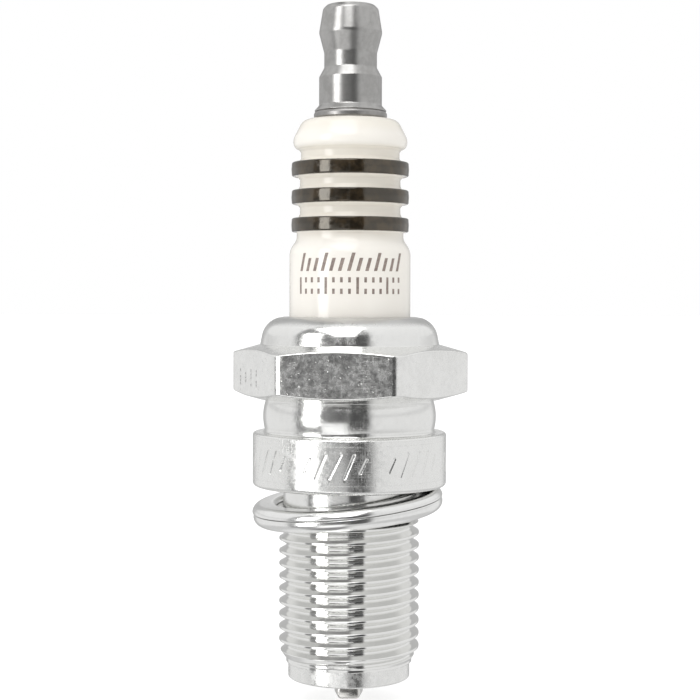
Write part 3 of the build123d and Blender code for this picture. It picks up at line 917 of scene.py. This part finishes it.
def floor():
    """Wide pale floor just under the object."""
    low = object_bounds()[0][2] - FLOOR_GAP
    mesh = bpy.data.meshes.new("floor")
    size = FLOOR_HALF
    mesh.from_pydata(
        [(-size, -size, low), (size, -size, low), (size, size, low), (-size, size, low)],
        [], [(0, 1, 2, 3)],
    )
    material, graph, place, shader = new_material("floor_paper")
    tone = graph.noise(place, 12, 2)
    graph.put(shader.inputs["Base Color"],
              graph.mix(tone, colour(0.36, 0.36, 0.357), colour(0.38, 0.38, 0.377)))
    shader.inputs["Roughness"].default_value = 0.9
    shader.inputs["Specular IOR Level"].default_value = 0.1
    shader.inputs["Emission Color"].default_value = colour(1, 1, 1)
    shader.inputs["Emission Strength"].default_value = 0.80
    mesh.materials.append(material)
    piece = bpy.data.objects.new("floor", mesh)
    bpy.context.scene.collection.objects.link(piece)
    piece.visible_glossy = False
    piece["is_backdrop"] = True


# The studio. A zone is azimuth from, to and softness, then elevation from, to and softness, in
# degrees; azimuth runs from the camera side towards +X. A later zone covers an earlier one.
TENT_LEVELS = (0.82, 0.92)
BEHIND = (148, 175, 6, -30, 40, 12)
TABLE = (-38, -2, 2, -48, -7.5, 1.5)
OPENING_WIDE = (-76, -2, 2, -7.2, 68, 1.4)
OPENING_NARROW = (-2, 27, 2.5, -24, 68, 4)
ZONE_LEVELS = (
    ((-66, 6, 6, -84, -42, 7), 0.26),  # under the table
    ((-76, -62, 2, -32, 60, 4), 0.28),  # left of the box light
    ((-41, -38, 1, -32, 40, 4), 0.4),  # right of the box light
    ((-62, -41, 2, -50, -13, 2), 0.38),  # under the box light
    ((-62, -41, 1.2, -12.4, 34, 0.8), 4.2),  # the box light
)
# Patches on a plane above the object, as shares of its height: X from, to and softness, then
# towards the camera from, to and softness.
ABOVE_LEVELS = (
    ((-0.68, 0.23, 0.03, 0.30, 2.05, 0.06), 3.0),  # top light
    ((-0.41, -0.13, 0.02, -0.9, -0.12, 0.05), 0.16),  # gap behind it
    ((-0.166, 0.0, 0.012, -0.9, -0.12, 0.05), 1.9),  # light beside the gap
)
# The same below the object, but away from the camera.
BELOW = (-0.01, 0.11, 0.015, 0.6, 1.2, 0.08)
BELOW_LEVEL = 0.2


def studio():
    """Light tent with a dark opening at the front, a box light at the left and one above."""
    world = bpy.data.worlds.new("studio")
    bpy.context.scene.world = world
    world.use_nodes = True
    graph = Graph(world.node_tree)
    way = graph.node("ShaderNodeTexCoord").outputs["Generated"]
    x, y, z = graph.node("ShaderNodeSeparateXYZ", Vector=way).outputs
    front = graph.math("MULTIPLY", y, -1.0)
    azimuth = graph.math("DEGREES", graph.math("ARCTAN2", x, front))
    elevation = graph.math("DEGREES", graph.math("ARCSINE", z))

    def between(value, low, high, soft):
        rise = graph.ramp(value, low - soft, low + soft)
        fall = graph.ramp(value, high - soft, high + soft, 1, 0)
        return graph.math("MULTIPLY", rise, fall)

    def blend(factor, a, b):
        away = graph.math("SUBTRACT", 1.0, factor)
        return graph.math("ADD", graph.math("MULTIPLY", away, a), graph.math("MULTIPLY", factor, b))

    def patch(across, along, edges):
        """1 inside the edges of a zone or a patch, 0 outside."""
        inside = between(across, *edges[:3])
        return graph.math("MULTIPLY", inside, between(along, *edges[3:]))

    light = graph.ramp(elevation, -10, 80, *TENT_LEVELS)
    light = blend(between(elevation, 5, 10, 2.5), light, 0.66)
    light = blend(between(elevation, -48, -22, 6), light, 0.62)
    turned_away = graph.math("ABSOLUTE", azimuth)
    light = blend(patch(turned_away, elevation, BEHIND), light, 0.5)
    table_level = blend(between(elevation, -14.3, -12.7, 0.5), 1.15, 0.62)
    light = blend(patch(azimuth, elevation, TABLE), light, table_level)
    wide = patch(azimuth, elevation, OPENING_WIDE)
    narrow = patch(azimuth, elevation, OPENING_NARROW)
    opening = graph.math("MAXIMUM", wide, narrow)
    light = blend(opening, light, graph.ramp(azimuth, -40, 4, 0.24, 0.08))
    for edges, level in ZONE_LEVELS:
        light = blend(patch(azimuth, elevation, edges), light, level)
    up = graph.math("MAXIMUM", z, 0.05)
    above_x = graph.math("DIVIDE", x, up)
    above_front = graph.math("DIVIDE", front, up)
    for edges, level in ABOVE_LEVELS:
        light = blend(patch(above_x, above_front, edges), light, level)
    down = graph.math("MAXIMUM", graph.math("MULTIPLY", z, -1.0), 0.05)
    below_x = graph.math("DIVIDE", x, down)
    below_back = graph.math("DIVIDE", y, down)
    light = blend(patch(below_x, below_back, BELOW), light, BELOW_LEVEL)
    seen = graph.node("ShaderNodeLightPath").outputs["Is Camera Ray"]
    light = blend(seen, light, 1.0)
    back = graph.node("ShaderNodeBackground", Color=colour(1, 1, 1), Strength=light)
    output = graph.node("ShaderNodeOutputWorld")
    graph.tree.links.new(back.outputs[0], output.inputs["Surface"])


# Place in metres, lens in millimetres
CAMERA_PLACE = (0.00002, -0.162, 0.0188)
CAMERA_LENS = 83.9
CAMERA_SHIFT_Y = -0.0372
CAMERA_DOWN_DEG = 1.0
CAMERA_ROLL_DEG = 0.18


def camera():
    """At the photograph's viewing angle: a little above the middle, tipped down."""
    data = bpy.data.cameras.new("camera")
    data.lens = CAMERA_LENS
    data.shift_y = CAMERA_SHIFT_Y
    data.sensor_width = 36
    data.clip_start = 0.01
    data.clip_end = 20
    piece = bpy.data.objects.new("camera", data)
    bpy.context.scene.collection.objects.link(piece)
    tip = Matrix.Rotation(math.radians(90 - CAMERA_DOWN_DEG), 4, "X")
    roll = Matrix.Rotation(math.radians(CAMERA_ROLL_DEG), 4, "Z")
    piece.matrix_world = Matrix.Translation(CAMERA_PLACE) @ tip @ roll
    bpy.context.scene.camera = piece


for node, look in hidden_looks.items():
    data = frame["nodes"][node].data
    data.materials.clear()
    data.materials.append(look)

shell_upper()
collar_band()
shell_lower()
insulator()
rib_bands()
insulator_print()
terminal_nut()
gasket()
ground_electrode()
floor()
studio()
camera()
bpy.context.scene.view_settings.view_transform = "Standard"
